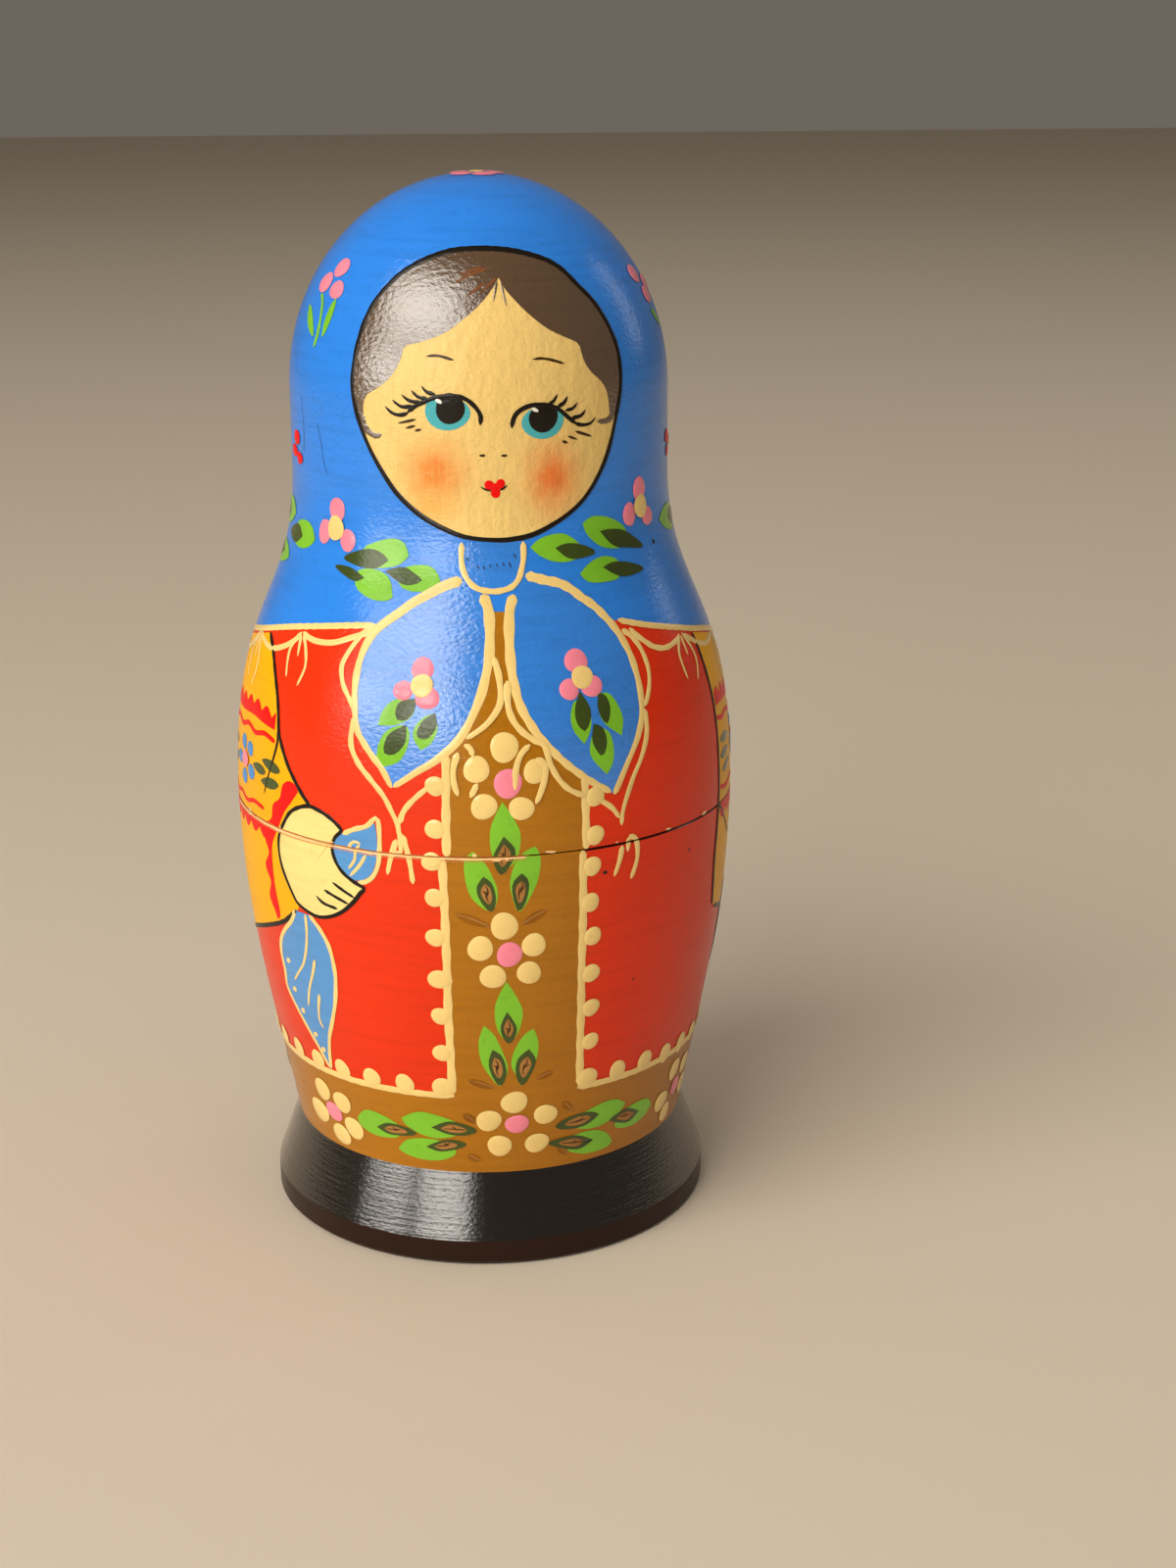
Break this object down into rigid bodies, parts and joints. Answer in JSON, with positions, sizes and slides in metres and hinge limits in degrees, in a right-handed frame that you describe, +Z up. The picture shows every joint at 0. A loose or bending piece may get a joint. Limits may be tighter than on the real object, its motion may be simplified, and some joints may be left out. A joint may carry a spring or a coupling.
{
  "type": "nesting doll",
  "caption": "Painted wooden nesting doll: hollow figures split at the middle, one inside another around a solid smallest one; each upper half lifts off its lower half.",
  "frame": {"origin": "middle of the underside of the outer doll's foot, on the table", "axes": "+Z up along the turning axis, the painted face looks along -Y, +X to the viewer's right"},
  "size_m": [0.1058, 0.1058, 0.22],
  "materials": {
    "scarf_paint": "painted lime wood under clear gloss varnish, bare inside",
    "coat_paint": "painted lime wood under clear gloss varnish, bare inside"
  },
  "bodies": {
    "outer_upper_half": {"outer_upper_half": "scarf_paint"},
    "second_upper_half": {"second_upper_half": "scarf_paint"},
    "third_upper_half": {"third_upper_half": "scarf_paint"},
    "fourth_upper_half": {"fourth_upper_half": "scarf_paint"},
    "fifth_upper_half": {"fifth_upper_half": "scarf_paint"},
    "sixth_upper_half": {"sixth_upper_half": "scarf_paint"},
    "seventh_upper_half": {"seventh_upper_half": "scarf_paint"},
    "eighth_upper_half": {"eighth_upper_half": "scarf_paint"},
    "ninth_upper_half": {"ninth_upper_half": "scarf_paint"},
    "outer_lower_half": {"outer_lower_half": "coat_paint"},
    "second_lower_half": {"second_lower_half": "coat_paint"},
    "third_lower_half": {"third_lower_half": "coat_paint"},
    "fourth_lower_half": {"fourth_lower_half": "coat_paint"},
    "fifth_lower_half": {"fifth_lower_half": "coat_paint"},
    "sixth_lower_half": {"sixth_lower_half": "coat_paint"},
    "seventh_lower_half": {"seventh_lower_half": "coat_paint"},
    "eighth_lower_half": {"eighth_lower_half": "coat_paint"},
    "ninth_lower_half": {"ninth_lower_half": "coat_paint"},
    "tenth_doll": {"tenth_doll": "coat_paint"}
  },
  "joints": [
    {"name": "outer_upper_half_lift", "type": "slide", "parent": "outer_lower_half", "child": "outer_upper_half", "axis": [0, 0, 1], "range_m": [0, 0.897]},
    {"name": "second_lower_half_lift", "type": "slide", "parent": "outer_lower_half", "child": "second_lower_half", "axis": [0, 0, 1], "range_m": [0, 0.0859]},
    {"name": "second_upper_half_lift", "type": "slide", "parent": "second_lower_half", "child": "second_upper_half", "axis": [0, 0, 1], "range_m": [0, 0.6898]},
    {"name": "third_lower_half_lift", "type": "slide", "parent": "second_lower_half", "child": "third_lower_half", "axis": [0, 0, 1], "range_m": [0, 0.0688]},
    {"name": "third_upper_half_lift", "type": "slide", "parent": "third_lower_half", "child": "third_upper_half", "axis": [0, 0, 1], "range_m": [0, 0.5239]},
    {"name": "fourth_lower_half_lift", "type": "slide", "parent": "third_lower_half", "child": "fourth_lower_half", "axis": [0, 0, 1], "range_m": [0, 0.055]},
    {"name": "fourth_upper_half_lift", "type": "slide", "parent": "fourth_lower_half", "child": "fourth_upper_half", "axis": [0, 0, 1], "range_m": [0, 0.3912]},
    {"name": "fifth_lower_half_lift", "type": "slide", "parent": "fourth_lower_half", "child": "fifth_lower_half", "axis": [0, 0, 1], "range_m": [0, 0.044]},
    {"name": "fifth_upper_half_lift", "type": "slide", "parent": "fifth_lower_half", "child": "fifth_upper_half", "axis": [0, 0, 1], "range_m": [0, 0.2852]},
    {"name": "sixth_lower_half_lift", "type": "slide", "parent": "fifth_lower_half", "child": "sixth_lower_half", "axis": [0, 0, 1], "range_m": [0, 0.0352]},
    {"name": "sixth_upper_half_lift", "type": "slide", "parent": "sixth_lower_half", "child": "sixth_upper_half", "axis": [0, 0, 1], "range_m": [0, 0.2004]},
    {"name": "seventh_lower_half_lift", "type": "slide", "parent": "sixth_lower_half", "child": "seventh_lower_half", "axis": [0, 0, 1], "range_m": [0, 0.0282]},
    {"name": "seventh_upper_half_lift", "type": "slide", "parent": "seventh_lower_half", "child": "seventh_upper_half", "axis": [0, 0, 1], "range_m": [0, 0.1325]},
    {"name": "eighth_lower_half_lift", "type": "slide", "parent": "seventh_lower_half", "child": "eighth_lower_half", "axis": [0, 0, 1], "range_m": [0, 0.0226]},
    {"name": "eighth_upper_half_lift", "type": "slide", "parent": "eighth_lower_half", "child": "eighth_upper_half", "axis": [0, 0, 1], "range_m": [0, 0.0783]},
    {"name": "ninth_lower_half_lift", "type": "slide", "parent": "eighth_lower_half", "child": "ninth_lower_half", "axis": [0, 0, 1], "range_m": [0, 0.0181]},
    {"name": "ninth_upper_half_lift", "type": "slide", "parent": "ninth_lower_half", "child": "ninth_upper_half", "axis": [0, 0, 1], "range_m": [0, 0.0349]},
    {"name": "tenth_doll_lift", "type": "slide", "parent": "ninth_lower_half", "child": "tenth_doll", "axis": [0, 0, 1], "range_m": [0, 0.0145]}
  ],
  "couplings": [
    {"joint": "second_lower_half_lift", "follows": "outer_upper_half_lift", "ratio": 0.0956},
    {"joint": "second_upper_half_lift", "follows": "outer_upper_half_lift", "ratio": 0.7688},
    {"joint": "third_lower_half_lift", "follows": "outer_upper_half_lift", "ratio": 0.0765},
    {"joint": "third_upper_half_lift", "follows": "outer_upper_half_lift", "ratio": 0.5839},
    {"joint": "fourth_lower_half_lift", "follows": "outer_upper_half_lift", "ratio": 0.0611},
    {"joint": "fourth_upper_half_lift", "follows": "outer_upper_half_lift", "ratio": 0.436},
    {"joint": "fifth_lower_half_lift", "follows": "outer_upper_half_lift", "ratio": 0.0489},
    {"joint": "fifth_upper_half_lift", "follows": "outer_upper_half_lift", "ratio": 0.3178},
    {"joint": "sixth_lower_half_lift", "follows": "outer_upper_half_lift", "ratio": 0.0391},
    {"joint": "sixth_upper_half_lift", "follows": "outer_upper_half_lift", "ratio": 0.2232},
    {"joint": "seventh_lower_half_lift", "follows": "outer_upper_half_lift", "ratio": 0.0313},
    {"joint": "seventh_upper_half_lift", "follows": "outer_upper_half_lift", "ratio": 0.1475},
    {"joint": "eighth_lower_half_lift", "follows": "outer_upper_half_lift", "ratio": 0.025},
    {"joint": "eighth_upper_half_lift", "follows": "outer_upper_half_lift", "ratio": 0.0871},
    {"joint": "ninth_lower_half_lift", "follows": "outer_upper_half_lift", "ratio": 0.02},
    {"joint": "ninth_upper_half_lift", "follows": "outer_upper_half_lift", "ratio": 0.0387},
    {"joint": "tenth_doll_lift", "follows": "outer_upper_half_lift", "ratio": 0.016}
  ]
}
